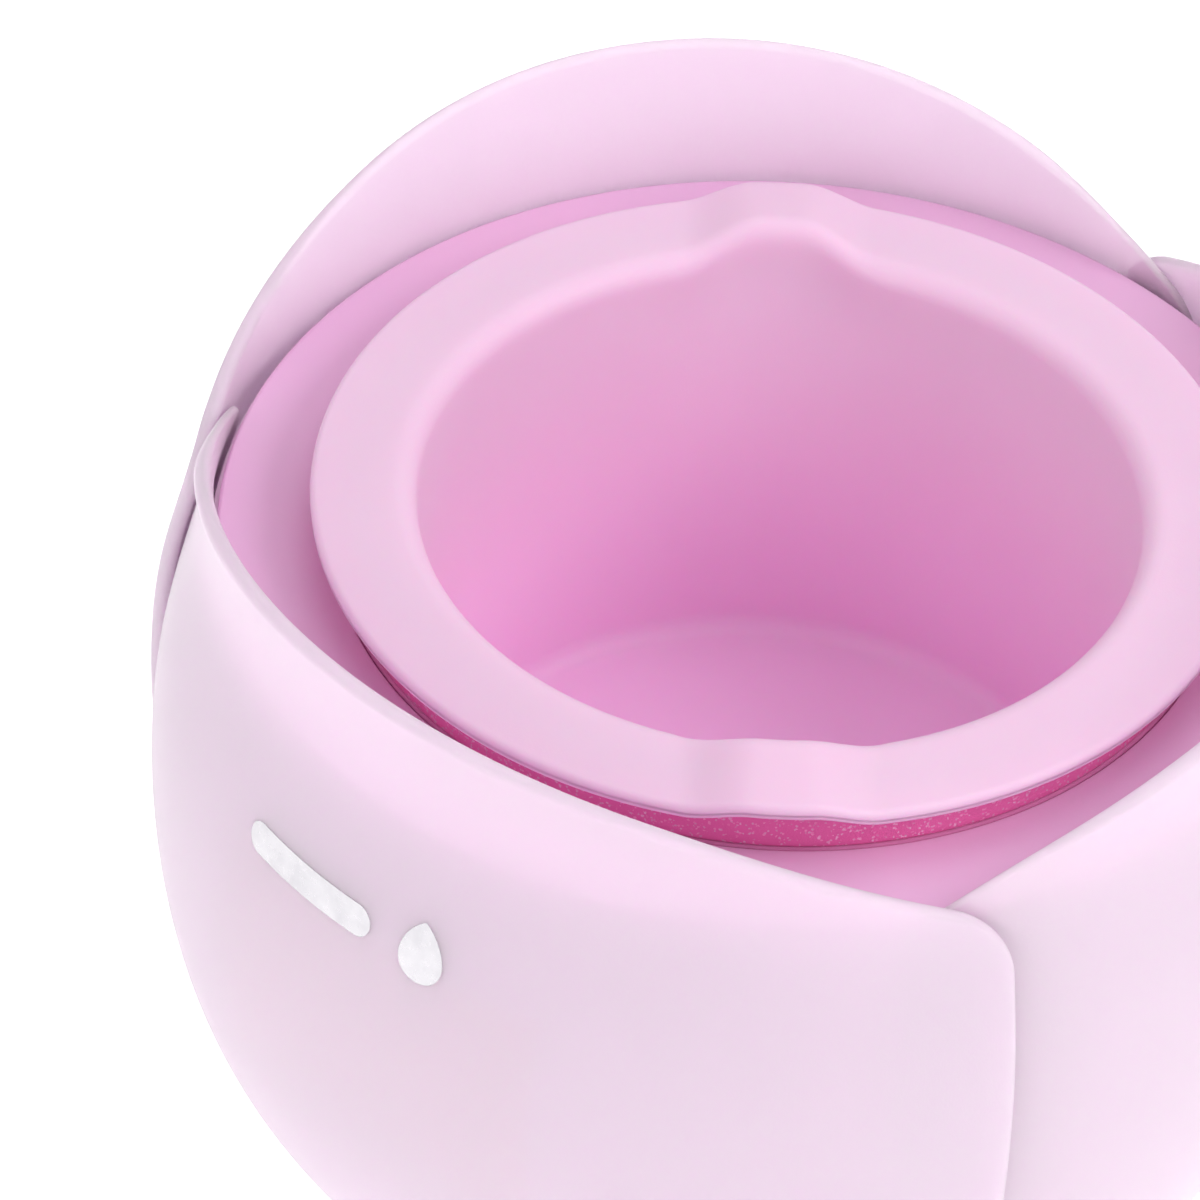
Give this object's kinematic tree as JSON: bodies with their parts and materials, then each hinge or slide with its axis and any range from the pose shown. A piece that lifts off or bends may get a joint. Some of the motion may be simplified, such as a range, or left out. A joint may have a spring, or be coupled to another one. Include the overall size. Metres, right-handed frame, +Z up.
{
  "type": "wax warmer pot",
  "caption": "Bulbous salon wax warmer: aluminium heating pot with a lift-out silicone liner and two pour lips, inside three overlapping frosted petals on a round base.",
  "frame": {"origin": "on the vertical axis of the pot, at the level of the feet's soles", "axes": "+Z up, the display faces -Y, the power inlet faces +Y"},
  "size_m": [0.1754, 0.1771, 0.1429],
  "materials": {
    "petal_frost": "frosted translucent",
    "liner_silicone": "matte silicone",
    "pot_coating": "fine sparkle coat",
    "plain_aluminium": "machined",
    "element_steel": "heat-tinted",
    "sensor_steel": "satin",
    "glass_fibre": "woven",
    "casing_plastic": "satin moulded",
    "seal_rubber": "matte",
    "foot_rubber": "matte",
    "bracket_steel": "zinc plated",
    "screw_steel": "zinc plated",
    "circuit_board": "solder mask",
    "component_black": "moulded",
    "terminal_green": "moulded",
    "inlet_black": "moulded",
    "pin_brass": "plated",
    "wire_skin": "smooth",
    "ribbon_grey": "smooth",
    "window_plastic": "translucent",
    "digit_black": "diffused",
    "pad_foam": "conductive foam"
  },
  "bodies": {
    "warmer": {"petal_front": "petal_frost", "petal_right": "petal_frost", "petal_left": "petal_frost", "heating_pot": "pot_coating", "heater_plate": "plain_aluminium", "heater_element": "element_steel", "thermistor": "sensor_steel", "thermal_fuse": "sensor_steel", "insulation_sleeve": "glass_fibre", "top_deck": "casing_plastic", "pot_seal": "seal_rubber", "inner_housing": "casing_plastic", "base_plate": "casing_plastic", "rubber_feet": "foot_rubber", "pot_bracket": "bracket_steel", "base_screws": "screw_steel", "bracket_screws": "screw_steel", "board_screws": "screw_steel", "display_screws": "screw_steel", "power_board": "circuit_board", "display_board": "circuit_board", "transformer": "component_black", "relay": "component_black", "capacitor": "component_black", "terminal_block": "terminal_green", "power_inlet": "inlet_black", "inlet_pins": "pin_brass", "mains_leads": "wire_skin", "heater_leads": "wire_skin", "display_ribbon": "ribbon_grey", "display_window": "window_plastic", "display_frame": "casing_plastic", "digit_module": "digit_black", "touch_pads": "pad_foam"},
    "liner": {"silicone_liner": "liner_silicone"}
  },
  "joints": [
    {"name": "liner_lift", "type": "slide", "parent": "warmer", "child": "liner", "axis": [0, 0, 1], "range_m": [0, 0.1]}
  ]
}
